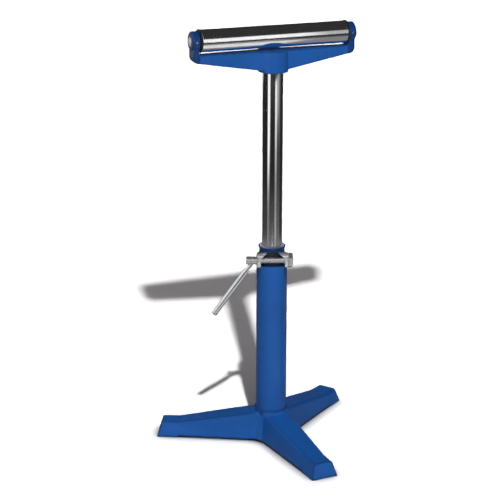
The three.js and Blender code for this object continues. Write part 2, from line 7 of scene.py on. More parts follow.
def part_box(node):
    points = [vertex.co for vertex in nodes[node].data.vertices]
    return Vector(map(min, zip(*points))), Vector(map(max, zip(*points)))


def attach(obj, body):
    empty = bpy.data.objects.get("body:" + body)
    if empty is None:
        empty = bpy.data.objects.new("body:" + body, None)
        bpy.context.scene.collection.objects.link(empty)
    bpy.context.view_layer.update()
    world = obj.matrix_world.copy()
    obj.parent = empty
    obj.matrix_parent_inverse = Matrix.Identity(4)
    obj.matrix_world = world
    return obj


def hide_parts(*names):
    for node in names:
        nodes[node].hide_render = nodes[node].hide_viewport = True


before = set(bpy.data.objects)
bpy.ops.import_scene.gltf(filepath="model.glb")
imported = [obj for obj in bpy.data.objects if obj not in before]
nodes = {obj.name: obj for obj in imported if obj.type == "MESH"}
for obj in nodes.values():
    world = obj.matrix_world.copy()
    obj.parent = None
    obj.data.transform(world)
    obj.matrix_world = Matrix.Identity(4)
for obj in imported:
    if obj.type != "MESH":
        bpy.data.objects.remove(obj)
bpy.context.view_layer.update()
print("frame in place:", len(nodes), "nodes")

# The column's middle carries everything; the head is turned about it
columnLow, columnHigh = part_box("column_tube")
columnMiddle = Vector(((columnLow.x + columnHigh.x) / 2, (columnLow.y + columnHigh.y) / 2, 0))
standPlace = Matrix.Translation(columnMiddle)
headTurn = math.radians(24.6)
headPlace = standPlace @ Matrix.Rotation(headTurn, 4, "Z")

cameraSetup = {
    "turn": 2.8,  # degrees round the stand
    "distance": 3.529,
    "height": 1.584,
    "pitch": 17.07,
    "roll": 0.36,
    "lens": 119.51,
    "sensor": 36,
    "shift": (-0.0440, -0.0456),
}


def setCamera():
    lens = bpy.data.cameras.new("standCamera")
    lens.lens = cameraSetup["lens"]
    lens.sensor_width = cameraSetup["sensor"]
    lens.shift_x, lens.shift_y = cameraSetup["shift"]
    camera = bpy.data.objects.new("standCamera", lens)
    turn = Matrix.Rotation(math.radians(cameraSetup["turn"]), 4, "Z")
    tilt = Matrix.Rotation(math.radians(90 - cameraSetup["pitch"]), 4, "X")
    roll = Matrix.Rotation(math.radians(cameraSetup["roll"]), 4, "Z")
    stepBack = Matrix.Translation((0, -cameraSetup["distance"], cameraSetup["height"]))
    camera.matrix_world = standPlace @ turn @ stepBack @ tilt @ roll
    bpy.context.scene.collection.objects.link(camera)
    bpy.context.scene.camera = camera


setCamera()
bpy.context.scene.view_settings.view_transform = "Standard"
print("camera set")


# Small helpers for the finishes
def newFinish(name):
    finish = bpy.data.materials.new(name)
    finish.use_nodes = True
    tree = finish.node_tree
    return finish, tree, tree.nodes["Principled BSDF"]


def grain(tree, scale, detail, stretch=(1, 1, 1), turn=0):
    spot = tree.nodes.new("ShaderNodeTexCoord")
    mapping = tree.nodes.new("ShaderNodeMapping")
    mapping.vector_type = "TEXTURE"
    mapping.inputs["Rotation"].default_value = (0, 0, turn)
    mapping.inputs["Scale"].default_value = [1 / s for s in stretch]
    noise = tree.nodes.new("ShaderNodeTexNoise")
    noise.inputs["Scale"].default_value = scale
    noise.inputs["Detail"].default_value = detail
    tree.links.new(spot.outputs["Object"], mapping.inputs["Vector"])
    tree.links.new(mapping.outputs["Vector"], noise.inputs["Vector"])
    return noise.outputs["Fac"]


def tones(tree, share, stops):
    ramp = tree.nodes.new("ShaderNodeValToRGB")
    ramp.color_ramp.elements[0].position = stops[0][0]
    ramp.color_ramp.elements[0].color = (*stops[0][1], 1)
    ramp.color_ramp.elements[1].position = stops[-1][0]
    ramp.color_ramp.elements[1].color = (*stops[-1][1], 1)
    for place, colour in stops[1:-1]:
        ramp.color_ramp.elements.new(place).color = (*colour, 1)
    tree.links.new(share, ramp.inputs["Fac"])
    return ramp.outputs["Color"]


# the usual span of the noise is stretched to low and high
def spread(tree, share, low, high, fromLow=0.3, fromHigh=0.7):
    remap = tree.nodes.new("ShaderNodeMapRange")
    remap.inputs["From Min"].default_value = fromLow
    remap.inputs["From Max"].default_value = fromHigh
    remap.inputs["To Min"].default_value = low
    remap.inputs["To Max"].default_value = high
    tree.links.new(share, remap.inputs["Value"])
    return remap.outputs["Result"]


def overlay(tree, share, under, colour):
    mix = tree.nodes.new("ShaderNodeMix")
    mix.data_type = "RGBA"
    mix.inputs["B"].default_value = (*colour, 1)
    tree.links.new(share, mix.inputs["Factor"])
    tree.links.new(under, mix.inputs["A"])
    return mix.outputs["Result"]


def combine(tree, operation, a, b):
    both = tree.nodes.new("ShaderNodeMath")
    both.operation = operation
    tree.links.new(a, both.inputs[0])
    tree.links.new(b, both.inputs[1])
    return both.outputs["Value"]


def relief(tree, shader, height, strength, depth, under=None):
    bump = tree.nodes.new("ShaderNodeBump")
    bump.inputs["Strength"].default_value = strength
    bump.inputs["Distance"].default_value = depth
    tree.links.new(height, bump.inputs["Height"])
    if under is not None:
        tree.links.new(under, bump.inputs["Normal"])
    tree.links.new(bump.outputs["Normal"], shader.inputs["Normal"])
    return bump.outputs["Normal"]


def edgeShare(tree, low, high):
    geometry = tree.nodes.new("ShaderNodeNewGeometry")
    return spread(tree, geometry.outputs["Pointiness"], 0, 1, low, high)


def fromColumn(tree):
    spot = tree.nodes.new("ShaderNodeTexCoord")
    flat = tree.nodes.new("ShaderNodeVectorMath")
    flat.operation = "MULTIPLY_ADD"
    flat.inputs[1].default_value = (1, 1, 0)
    flat.inputs[2].default_value = -columnMiddle
    reach = tree.nodes.new("ShaderNodeVectorMath")
    reach.operation = "LENGTH"
    tree.links.new(spot.outputs["Object"], flat.inputs[0])
    tree.links.new(flat.outputs["Vector"], reach.inputs[0])
    return reach.outputs["Value"]


# In the looks, a grain is its scale and detail, a relief its strength and depth
enamelLook = {
    "deep": (0.0075, 0.074, 0.288),
    "full": (0.0090, 0.086, 0.330),
    "cloud": (14, 4),
    "cloudStops": (0.35, 0.65),
    "thin": (0.006, 0.034, 0.130),  # painted edge shade: darker blue along convex edges, patchy like worn paint
    "edges": (0.503, 0.525),
    "rubs": (90, 3),
    "rubShare": (0.5, 0.95),
    "arms": (0.0045, 0.038, 0.145),  # painted shade: the yoke's arms are painted a darker blue
    "armsFrom": 0.1708,
    "armsBlur": 0.0015,
    "gloss": (0.33, 0.41),
    "glossGrain": (60, 3),
    "peel": (300, 2),  # orange peel of the sprayed coat
    "peelRelief": (0.02, 0.0003),
    "sand": (160, 4),  # sand of the mould under the paint
    "sandRelief": (0.06, 0.0006),
    "shine": 0.3,
}

# The guide sleeve's mouth: flared, and inside a pale lip of bare worn metal with a painted sheen; the
# sleeve's enamel is darkened as painted shade
sleeveMouth = {
    "start": 0.4505,
    "top": 0.4588,
    "steps": 6,
    "wallMiddle": 0.0267,  # tells the bore from the outside
    "waist": -0.0025,  # change of the outer radius at the clamp and at the lip
    "lip": 0.0005,
    "lipCurve": 2,
    "bore": 0.0036,  # how far the bore opens at the lip
    "boreCurve": 1.5,
    # worn bare lip and painted sheen: inside this radius the enamel is painted a pale tone
    "bare": 0.0270,
    "bareBlur": 0.0003,
    "bareTone": (0.42, 0.45, 0.56),
    # painted shade: the sleeve's enamel is darkened to this share of its tones
    "shade": 0.42,
}


def blueEnamel(name, grainAndEdgeShade, shade=1, mouth=False, arms=False):
    look = enamelLook
    finish, tree, shader = newFinish(name)
    # painted shade: a shade below 1 darkens both tones evenly
    colours = [[v * shade for v in look[tone]] for tone in ("deep", "full")]
    paint = tones(tree, grain(tree, *look["cloud"]), list(zip(look["cloudStops"], colours)))
    # painted shade: past armsFrom from the column, the arms take a darker blue
    if arms:
        edge, blur = look["armsFrom"], look["armsBlur"]
        armShadeMask = spread(tree, fromColumn(tree), 0, 1, edge - blur, edge + blur)
        paint = overlay(tree, armShadeMask, paint, look["arms"])
    # painted edge shade: convex edges are darkened towards thin, broken up by the rubs noise
    if grainAndEdgeShade:
        rubs = spread(tree, grain(tree, *look["rubs"]), *look["rubShare"])
        edgeDark = combine(tree, "MULTIPLY", edgeShare(tree, *look["edges"]), rubs)
        paint = overlay(tree, edgeDark, paint, look["thin"])
    # worn bare lip and painted sheen: a pale tone inside the sleeve's mouth
    if mouth:
        edge, blur = sleeveMouth["bare"], sleeveMouth["bareBlur"]
        bareSheen = spread(tree, fromColumn(tree), 1, 0, edge - blur, edge + blur)
        paint = overlay(tree, bareSheen, paint, sleeveMouth["bareTone"])
    tree.links.new(paint, shader.inputs["Base Color"])
    gloss = spread(tree, grain(tree, *look["glossGrain"]), *look["gloss"])
    tree.links.new(gloss, shader.inputs["Roughness"])
    peel = relief(tree, shader, grain(tree, *look["peel"]), *look["peelRelief"])
    if grainAndEdgeShade:
        relief(tree, shader, grain(tree, *look["sand"]), *look["sandRelief"], peel)
    shader.inputs["Specular IOR Level"].default_value = look["shine"]
    return finish


chromeLook = {
    "dull": (0.87, 0.87, 0.88),
    "bright": (0.94, 0.94, 0.95),
    "cloud": (22, 3),
    "cloudStops": (0.3, 0.6),
    "lines": (30, 4),  # fine polishing lines
    "lineRelief": (0.005, 0.0002),
    "postStretch": (1, 1, 40),
    "postGloss": (0.09, 0.13),
    "rollerStretch": (40, 1, 1),
    "rollerGloss": (0.12, 0.15),
}


def chromePlate(name, stretch, gloss, turn=0):
    look = chromeLook
    finish, tree, shader = newFinish(name)
    lines = grain(tree, *look["lines"], stretch, turn)
    cloud = grain(tree, *look["cloud"])
    colour = tones(tree, cloud, list(zip(look["cloudStops"], (look["dull"], look["bright"]))))
    tree.links.new(colour, shader.inputs["Base Color"])
    tree.links.new(spread(tree, lines, *gloss), shader.inputs["Roughness"])
    relief(tree, shader, lines, *look["lineRelief"])
    shader.inputs["Metallic"].default_value = 1
    return finish


zincLook = {
    "dark": (0.64, 0.645, 0.655),
    "light": (0.76, 0.76, 0.77),
    "mottle": (160, 4),
    "mottleStops": (0.35, 0.6),
    "edgeDark": (0.42, 0.42, 0.42),
    "edges": (0.52, 0.58),
    "rubs": (300, 3),
    "rubShare": (0, 0.7),
    "glossGrain": (260, 3),
    "skin": (700, 2),
    "skinRelief": (0.04, 0.0002),
    # gloss, then how metallic
    "bright": ((0.20, 0.28), 0.72),
    "dull": ((0.24, 0.32), 0.9),  # bolt and nut, greased
    "rubbed": ((0.16, 0.22), 0.95),  # lever, polished by hands
}


def zincPlate(name, gloss, metal):
    look = zincLook
    finish, tree, shader = newFinish(name)
    mottle = grain(tree, *look["mottle"])
    plate = tones(tree, mottle, list(zip(look["mottleStops"], (look["dark"], look["light"]))))
    rubs = spread(tree, grain(tree, *look["rubs"]), *look["rubShare"])
    rubbed = combine(tree, "MULTIPLY", edgeShare(tree, *look["edges"]), rubs)
    tree.links.new(overlay(tree, rubbed, plate, look["edgeDark"]), shader.inputs["Base Color"])
    tree.links.new(spread(tree, grain(tree, *look["glossGrain"]), *gloss), shader.inputs["Roughness"])
    relief(tree, shader, grain(tree, *look["skin"]), *look["skinRelief"])
    shader.inputs["Metallic"].default_value = metal
    return finish


steelLook = {
    "dark": (0.54, 0.54, 0.55),
    "light": (0.66, 0.66, 0.67),
    "gloss": (0.26, 0.34),
    "marks": (60, 3),  # of the turning tool
    "markStops": (0.3, 0.7),
    "markStretch": (40, 4, 4),
    "markRelief": (0.03, 0.0002),
}


def turnedSteel(name):
    look = steelLook
    finish, tree, shader = newFinish(name)
    marks = grain(tree, *look["marks"], look["markStretch"], headTurn)
    colour = tones(tree, marks, list(zip(look["markStops"], (look["dark"], look["light"]))))
    tree.links.new(colour, shader.inputs["Base Color"])
    tree.links.new(spread(tree, marks, *look["gloss"]), shader.inputs["Roughness"])
    relief(tree, shader, marks, *look["markRelief"])
    shader.inputs["Metallic"].default_value = 1
    return finish


oxideLook = {
    "black": (0.018, 0.018, 0.020),
    "grey": (0.035, 0.035, 0.038),
    "skin": (220, 3),
    "skinStops": (0.35, 0.75),
    "rubbed": (0.13, 0.13, 0.135),
    "edges": (0.52, 0.6),
    "gloss": (0.35, 0.55),
    "glossGrain": (400, 3),
    "pits": (1200, 2),
    "pitRelief": (0.1, 0.0002),
    "metal": 0.6,
}


def blackOxide(name):
    look = oxideLook
    finish, tree, shader = newFinish(name)
    stops = list(zip(look["skinStops"], (look["black"], look["grey"])))
    skin = tones(tree, grain(tree, *look["skin"]), stops)
    rubbed = edgeShare(tree, *look["edges"])
    tree.links.new(overlay(tree, rubbed, skin, look["rubbed"]), shader.inputs["Base Color"])
    gloss = spread(tree, grain(tree, *look["glossGrain"]), *look["gloss"])
    tree.links.new(gloss, shader.inputs["Roughness"])
    relief(tree, shader, grain(tree, *look["pits"]), *look["pitRelief"])
    shader.inputs["Metallic"].default_value = look["metal"]
    return finish


plasticLook = {
    "black": (0.010, 0.010, 0.011),
    "grey": (0.024, 0.024, 0.026),
    "skin": (120, 3),
    "skinStops": (0.35, 0.7),
    "gloss": (0.40, 0.58),
    "glossGrain": (500, 2),
    "mould": (1500, 2),  # spark-eroded mould skin
    "mouldRelief": (0.2, 0.0003),
    "shine": 0.2,
}


def mouldedBlack(name):
    look = plasticLook
    finish, tree, shader = newFinish(name)
    stops = list(zip(look["skinStops"], (look["black"], look["grey"])))
    tree.links.new(tones(tree, grain(tree, *look["skin"]), stops), shader.inputs["Base Color"])
    gloss = spread(tree, grain(tree, *look["glossGrain"]), *look["gloss"])
    tree.links.new(gloss, shader.inputs["Roughness"])
    relief(tree, shader, grain(tree, *look["mould"]), *look["mouldRelief"])
    shader.inputs["Specular IOR Level"].default_value = look["shine"]
    return finish


castBlue = blueEnamel("castBlueEnamel", True)
yokeBlueArmShade = blueEnamel("yokeEnamelArmShade", True, arms=True)
tubeBlue = blueEnamel("tubeBlueEnamel", False)
sleeveBlueShaded = blueEnamel("sleeveEnamelShadeAndSheen", False, sleeveMouth["shade"], mouth=True)
postChrome = chromePlate("postChrome", chromeLook["postStretch"], chromeLook["postGloss"])
rollerChrome = chromePlate("rollerChrome", chromeLook["rollerStretch"], chromeLook["rollerGloss"], headTurn)
zinc = zincPlate("brightZinc", *zincLook["bright"])
dullZinc = zincPlate("dullZinc", *zincLook["dull"])
rubbedZinc = zincPlate("rubbedZinc", *zincLook["rubbed"])
steel = turnedSteel("turnedSteel")
oxide = blackOxide("blackOxide")
plastic = mouldedBlack("mouldedBlack")
print("finishes mixed")


# Mesh helpers
meshSetup = {
    "onAxis": 1e-7,  # a smaller radius is a point on the axis
    "cornerSteps": 5,
    "weld": 2e-6,
    "nodeWeld": 5e-6,
    "flatAngle": 0.5,
    "sharpAngle": 35,
    "bevelSegments": 2,
    "softenFactor": 0.5,
}


# a corner's third number is the setback of its rounding
def softLine(corners, closed=True):
    steps = meshSetup["cornerSteps"]
    line = []
    for i, corner in enumerate(corners):
        here = Vector(corner[:2])
        setback = corner[2] if len(corner) > 2 else 0
        if not setback or (not closed and i in (0, len(corners) - 1)):
            line.append(here)
            continue
        start = here + (Vector(corners[i - 1][:2]) - here).normalized() * setback
        end = here + (Vector(corners[(i + 1) % len(corners)][:2]) - here).normalized() * setback
        for s in range(steps + 1):
            t = s / steps
            line.append(start.lerp(here, t).lerp(here.lerp(end, t), t))
    return line


def turnedForm(corners, segments=96, alongX=False):
    onAxis = meshSetup["onAxis"]
    closed = corners[0][0] > onAxis or corners[-1][0] > onAxis
    form = bmesh.new()
    angles = [2 * math.pi * i / segments for i in range(segments)]
    rings = []
    for radius, height in softLine(corners, closed):
        if radius < onAxis:
            rings.append([form.verts.new((0, 0, height))])
            continue
        ring = [(radius * math.cos(a), radius * math.sin(a), height) for a in angles]
        rings.append([form.verts.new(point) for point in ring])
    pairs = list(zip(rings, rings[1:])) + ([(rings[-1], rings[0])] if closed else [])
    for one, two in pairs:
        for i in range(segments):
            k = (i + 1) % segments
            if len(one) == 1:
                form.faces.new((one[0], two[k], two[i]))
            elif len(two) == 1:
                form.faces.new((one[i], one[k], two[0]))
            else:
                form.faces.new((one[i], one[k], two[k], two[i]))
    bmesh.ops.recalc_face_normals(form, faces=form.faces)
    if alongX:
        form.transform(Matrix.Rotation(math.pi / 2, 4, "Y"))
    return form


def pinForm(radius, start, stop, segments=96, alongX=False):
    return turnedForm([(0, start), (radius, start), (radius, stop), (0, stop)], segments, alongX)


def loftForm(rings):
    form = bmesh.new()
    rows = [[form.verts.new(point) for point in ring] for ring in rings]
    for one, two in zip(rows, rows[1:]):
        for i in range(len(one)):
            k = (i + 1) % len(one)
            form.faces.new((one[i], one[k], two[k], two[i]))
    form.faces.new(rows[0])
    form.faces.new(rows[-1])
    bmesh.ops.recalc_face_normals(form, faces=form.faces)
    return form


def slabForm(corners, depth):
    line = softLine(corners)
    return loftForm([[(x, y, z) for x, z in line] for y in (-depth / 2, depth / 2)])


def looseObject(form):
    mesh = bpy.data.meshes.new("loose")
    form.to_mesh(mesh)
    form.free()
    loose = bpy.data.objects.new("loose", mesh)
    bpy.context.scene.collection.objects.link(loose)
    return loose


def bakedForm(loose):
    bpy.context.view_layer.update()
    worked = loose.evaluated_get(bpy.context.evaluated_depsgraph_get())
    mesh = bpy.data.meshes.new_from_object(worked)
    form = bmesh.new()
    form.from_mesh(mesh)
    bpy.data.meshes.remove(mesh)
    bpy.data.objects.remove(loose)
    return form


# one skin over all the forms, with soft edges
def castForm(forms, voxel, rounds, keep):
    pile = bmesh.new()
    for form in forms:
        mesh = bpy.data.meshes.new("pile")
        form.to_mesh(mesh)
        form.free()
        pile.from_mesh(mesh)
        bpy.data.meshes.remove(mesh)
    loose = looseObject(pile)
    skin = loose.modifiers.new("skin", "REMESH")
    skin.mode = "VOXEL"
    skin.voxel_size = voxel
    soften = loose.modifiers.new("soften", "SMOOTH")
    soften.factor = meshSetup["softenFactor"]
    soften.iterations = rounds
    thin = loose.modifiers.new("thin", "DECIMATE")
    thin.ratio = keep
    return bakedForm(loose)


def machinedForm(form, added, removed):
    loose = looseObject(form)
    tools = []
    for operation, group in (("UNION", added), ("DIFFERENCE", removed)):
        for tool in group:
            tools.append(looseObject(tool))
            cut = loose.modifiers.new("cut", "BOOLEAN")
            cut.operation = operation
            cut.solver = "EXACT"
            cut.object = tools[-1]
    result = bakedForm(loose)
    for tool in tools:
        bpy.data.objects.remove(tool)
    bmesh.ops.remove_doubles(result, verts=result.verts, dist=meshSetup["weld"])
    return result


def addPiece(name, form, place, body, slotName, finish, *stoodFor, sharp=meshSetup["sharpAngle"]):
    mesh = bpy.data.meshes.new(name)
    form.transform(place)
    form.to_mesh(mesh)
    form.free()
    mesh.shade_smooth()
    mesh.set_sharp_from_angle(angle=math.radians(sharp))
    mesh.materials.clear()
    mesh.materials.append(finish)
    piece = bpy.data.objects.new(name, mesh)
    bpy.context.scene.collection.objects.link(piece)
    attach(piece, body)
    if stoodFor:
        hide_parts(*stoodFor)
    return piece


def nodeForm(nodeName):
    form = bmesh.new()
    form.from_mesh(nodes[nodeName].data)
    bmesh.ops.remove_doubles(form, verts=form.verts, dist=meshSetup["nodeWeld"])
    flat = math.radians(meshSetup["flatAngle"])
    bmesh.ops.dissolve_limit(form, angle_limit=flat, verts=form.verts, edges=form.edges)
    return form


# a copy of the node's shape with its edges broken
def refinedPiece(nodeName, body, slotName, finish, bevel=0.0004, sharp=meshSetup["sharpAngle"], form=None):
    form = form or nodeForm(nodeName)
    still = Matrix.Identity(4)
    piece = addPiece(nodeName + "_shown", form, still, body, slotName, finish, nodeName, sharp=sharp)
    if bevel:
        edges = piece.modifiers.new("edges", "BEVEL")
        edges.width = bevel
        edges.segments = meshSetup["bevelSegments"]
        edges.limit_method = "ANGLE"
        edges.angle_limit = math.radians(sharp)


# Base casting: three drafted legs run into a round hub
baseCast = {
    "legTurns": (180, 60, -60),
    "legReach": 0.261,
    "legLift": 0.0025,
    "padLength": 0.047,
    "padOverlap": 0.002,
    "toeHeight": 0.0332,
    "toeSetback": 0.0106,
    "toeFlat": 0.040,
    "toeTopHalf": 0.0224,
    "toeFootHalf": 0.0312,
    "topSpread": 0.035,
    "footSpread": 0.041,
    "topRound": 0.008,
    "roundSteps": 6,
    "wall": 0.006,
    "hubRadius": 0.0393,
    "hubInset": 0.0004,
    "hubSkirt": 0.013,
    "hubTop": 0.067,
    "hubStep": 0.0044,
    "rimTop": 0.073,
    "rimDepth": 0.006,
    "rimRound": 0.0042,
    "columnSeat": 0.03465,
    "ledge": 0.008,
    "opening": 0.024,
    "screwTurns": (120, 0),
    "screwHeight": 0.054,
    "screwHole": 0.00415,
    "screwSpan": (0.031, 0.044),
    "past": 0.001,  # how far a cut runs past the surface
    "voxel": 0.0018,
    "rounds": 5,
    "keep": 0.45,
}


def legRing(r, bottom, inset, endSlope=0):
    b = baseCast
    flatFrom = b["legReach"] - b["toeSetback"] - b["toeFlat"]
    rise = (b["hubTop"] - b["hubStep"] - b["toeHeight"]) / (flatFrom - b["hubRadius"])
    top = b["toeHeight"] + max(0, flatFrom - r) * rise - inset
    inward = b["legReach"] - b["toeSetback"] - r
    half = b["toeTopHalf"] + inward * b["topSpread"] - inset
    draft = (b["toeFootHalf"] + inward * b["footSpread"] - inset - half) / top
    side = [(half + (top - bottom) * draft, bottom)]
    tilt = math.atan(draft)
    middle = half - b["topRound"] * math.tan((math.pi / 2 - tilt) / 2)
    for i in range(b["roundSteps"] + 1):
        a = tilt + (math.pi / 2 - tilt) * i / b["roundSteps"]
        side.append((middle + b["topRound"] * math.cos(a), top - b["topRound"] + b["topRound"] * math.sin(a)))
    ring = side + [(-y, z) for y, z in reversed(side)]
    return [(r + endSlope * (top - z) / b["toeHeight"], y, z) for y, z in ring]


def makeBase():
    b = baseCast
    flatFrom = b["legReach"] - b["toeSetback"] - b["toeFlat"]
    padFrom = b["legReach"] - b["padLength"]
    toeEnd = b["legReach"] - b["toeSetback"]
    solids, hollows = [], []
    for angle in b["legTurns"]:
        leg = loftForm([legRing(r, b["legLift"], 0) for r in (0, flatFrom, padFrom + b["padOverlap"])])
        toe = loftForm([legRing(padFrom, 0, 0), legRing(toeEnd, 0, 0, b["toeSetback"])])
        hollowEnds = (b["hubRadius"], padFrom - b["wall"])
        hollow = loftForm([legRing(r, -b["past"], b["wall"]) for r in hollowEnds])
        for form in (leg, toe, hollow):
            form.transform(Matrix.Rotation(math.radians(angle), 4, "Z"))
        solids += [leg, toe]
        hollows.append(hollow)
    core = b["hubRadius"] - b["hubInset"]
    solids.append(turnedForm([
        (0, b["legLift"]),
        (core + b["hubSkirt"], b["legLift"]),
        (core, b["hubTop"] - b["hubStep"]),
        (core, b["hubTop"]),
        (0, b["hubTop"]),
    ]))
    cast = castForm(solids, b["voxel"], b["rounds"], b["keep"])
    rim = turnedForm([
        (0, b["hubTop"] - b["rimDepth"]),
        (b["hubRadius"], b["hubTop"] - b["rimDepth"]),
        (b["hubRadius"], b["rimTop"], b["rimRound"]),
        (0, b["rimTop"]),
    ])
    bore = turnedForm([
        (0, b["legLift"] - b["past"]),
        (b["opening"], b["legLift"] - b["past"]),
        (b["opening"], b["ledge"]),
        (b["columnSeat"], b["ledge"]),
        (b["columnSeat"], b["rimTop"] + b["past"]),
        (0, b["rimTop"] + b["past"]),
    ])
    holes = []
    for angle in b["screwTurns"]:
        hole = pinForm(b["screwHole"], *b["screwSpan"], 32, True)
        lift = Matrix.Translation((0, 0, b["screwHeight"]))
        hole.transform(Matrix.Rotation(math.radians(angle), 4, "Z") @ lift)
        holes.append(hole)
    done = machinedForm(cast, [rim], hollows + [bore] + holes)
    addPiece("base_cast", done, standPlace, "base", "blue_paint", castBlue, "base_casting")


makeBase()
print("base cast")

# Column with its buffer plug and screws
columnTube = {
    "inner": 0.031,
    "outer": 0.0345,
    "foot": 0.0083,
    "top": 0.417,
    "outerEdge": 0.0009,
    "innerEdge": 0.0004,
    "segments": 128,
}


def makeColumn():
    c = columnTube
    tube = turnedForm([
        (c["inner"], c["foot"]),
        (c["outer"], c["foot"]),
        (c["outer"], c["top"], c["outerEdge"]),
        (c["inner"], c["top"], c["innerEdge"]),
    ], c["segments"])
    addPiece("column_painted", tube, standPlace, "base", "blue_paint", tubeBlue, "column_tube")
    refinedPiece("column_plug", "base", "black_plastic", plastic)
    for name in ("column_screw_1", "column_screw_2"):
        refinedPiece(name, "base", "black_oxide", oxide, bevel=0.0002)


makeColumn()
print("column raised")


# Clamp: sleeve, ring, cross bolt, shoe and lever
def flaredSleeve():
    m = sleeveMouth
    rise = m["top"] - m["start"]
    form = nodeForm("guide_sleeve")
    for k in range(m["steps"]):
        level = Vector((0, 0, m["start"] + rise * k / m["steps"]))
        everything = form.verts[:] + form.edges[:] + form.faces[:]
        bmesh.ops.bisect_plane(form, geom=everything, plane_co=level, plane_no=(0, 0, 1))
    for vert in form.verts:
        t = (vert.co.z - m["start"]) / rise
        if t < -1e-4:
            continue
        t = max(t, 0)
        out = vert.co - columnMiddle
        out.z = 0
        if out.length > m["wallMiddle"]:
            change = m["waist"] + (m["lip"] - m["waist"]) * t ** m["lipCurve"]
        else:
            change = m["bore"] * t ** m["boreCurve"]
        vert.co += out.normalized() * change
    return form


def makeClamp():
    refinedPiece("guide_sleeve", "base", "blue_paint", sleeveBlueShaded, form=flaredSleeve())
    refinedPiece("clamp_ring", "base", "zinc", zinc, bevel=0.0006)
    refinedPiece("clamp_bolt", "base", "zinc", dullZinc, bevel=0.0005, sharp=28)
    refinedPiece("brake_shoe", "base", "black_plastic", plastic, bevel=0.0005)
    refinedPiece("lever_nut", "lever", "zinc", dullZinc, bevel=0.0005)
    refinedPiece("lever_rod", "lever", "zinc", rubbedZinc, bevel=0.0007)


makeClamp()
print("clamp fitted")

# Post and what holds it in the column
postTube = {
    "inner": 0.0195,
    "outer": 0.0225,
    "foot": 0.372,
    "footEdge": 0.001,
    "top": 0.883,
    "groove": 0.0213,
    "grooves": (0.3757, 0.3923),
    "grooveWide": 0.002,
    "grooveSlack": 0.00015,
    "segments": 160,
}


def makePost():
    p = postTube
    corners = [(p["inner"], p["foot"]), (p["outer"], p["foot"], p["footEdge"])]
    for z in p["grooves"]:
        low, high = z - p["grooveSlack"], z + p["grooveWide"] + p["grooveSlack"]
        corners += [(p["outer"], low), (p["groove"], low), (p["groove"], high), (p["outer"], high)]
    corners += [(p["outer"], p["top"]), (p["inner"], p["top"])]
    tube = turnedForm(corners, p["segments"])
    addPiece("post_chromed", tube, headPlace, "mast", "chrome", postChrome, "post_tube")
    refinedPiece("foot_bush", "slider", "black_plastic", plastic)
    for name in ("foot_clip_1", "foot_clip_2"):
        refinedPiece(name, "mast", "black_oxide", oxide, bevel=0.0002)


makePost()
print("post in")

# Yoke casting: hub, tapering beam and two arms
yokeCast = {
    "hubRadius": 0.033,
    "hubBottom": 0.853,
    "top": 0.9005,
    "rootRise": 0.0055,
    "rootHalf": 0.020,
    "rootShare": 0.8,  # of the hub's radius, where the taper starts
    "endDepth": 0.018,
    "endRise": 0.001,
    "depth": 0.025,
    "corner": 0.014,
    "fillet": 0.005,
    "axisHeight": 0.92965,
    "armInner": 0.1724,
    "armOuter": 0.1865,
    "armDepth": 0.029,
    "headRadius": 0.0214,
    "bossRadius": 0.0175,
    "bossEnd": 0.1892,
    "socket": 0.02265,
    "socketTop": 0.8833,
    "axleHole": 0.01015,
    "axleReach": 0.192,
    "grubHole": 0.00265,
    "grubSpan": (0.005, 0.0235),
    "screwHole": 0.00415,
    "screwHeight": 0.868,
    "screwSpan": (0.0195, 0.034),
    "past": 0.001,
    "voxel": 0.0011,
    "rounds": 5,
    "keep": 0.4,
}


def yokeSolids():
    y = yokeCast
    low, end, top = y["hubBottom"] + y["rootRise"], y["top"] - y["endDepth"], y["top"]
    cornerRun = y["armOuter"] - y["corner"]
    rightSide = [
        (y["hubRadius"], low),
        (cornerRun, end),
        (y["armOuter"], end + y["endRise"], y["corner"]),
        (y["armOuter"], y["axisHeight"]),
        (y["armInner"], y["axisHeight"]),
        (y["armInner"], top, y["fillet"]),
    ]
    leftSide = [(-corner[0], *corner[1:]) for corner in reversed(rightSide)]
    solids = [slabForm(rightSide + leftSide, y["depth"])]
    run = y["armInner"] - y["fillet"]
    slope = (end - low) / (cornerRun - y["hubRadius"])

    def beamRing(x, half, bottom):
        return [(x, half, bottom), (x, half, top), (x, -half, top), (x, -half, bottom)]

    for side in (1, -1):
        solids.append(loftForm([
            beamRing(0, y["rootHalf"], low),
            beamRing(side * y["hubRadius"] * y["rootShare"], y["rootHalf"], low),
            beamRing(side * run, y["depth"] / 2, low + slope * (run - y["hubRadius"])),
        ]))
        arm = slabForm([
            (y["armInner"], end),
            (y["armOuter"], end + y["endRise"], y["corner"]),
            (y["armOuter"], y["axisHeight"]),
            (y["armInner"], y["axisHeight"]),
        ], y["armDepth"])
        boss = turnedForm([
            (0, y["armInner"]),
            (y["headRadius"], y["armInner"]),
            (y["headRadius"], y["armOuter"]),
            (y["bossRadius"], y["armOuter"]),
            (y["bossRadius"], y["bossEnd"]),
            (0, y["bossEnd"]),
        ], alongX=True)
        boss.transform(Matrix.Translation((0, 0, y["axisHeight"])))
        for form in (arm, boss):
            form.transform(Matrix.Rotation(0 if side > 0 else math.pi, 4, "Z"))
            solids.append(form)
    solids.append(pinForm(y["hubRadius"], y["hubBottom"], top))
    return solids


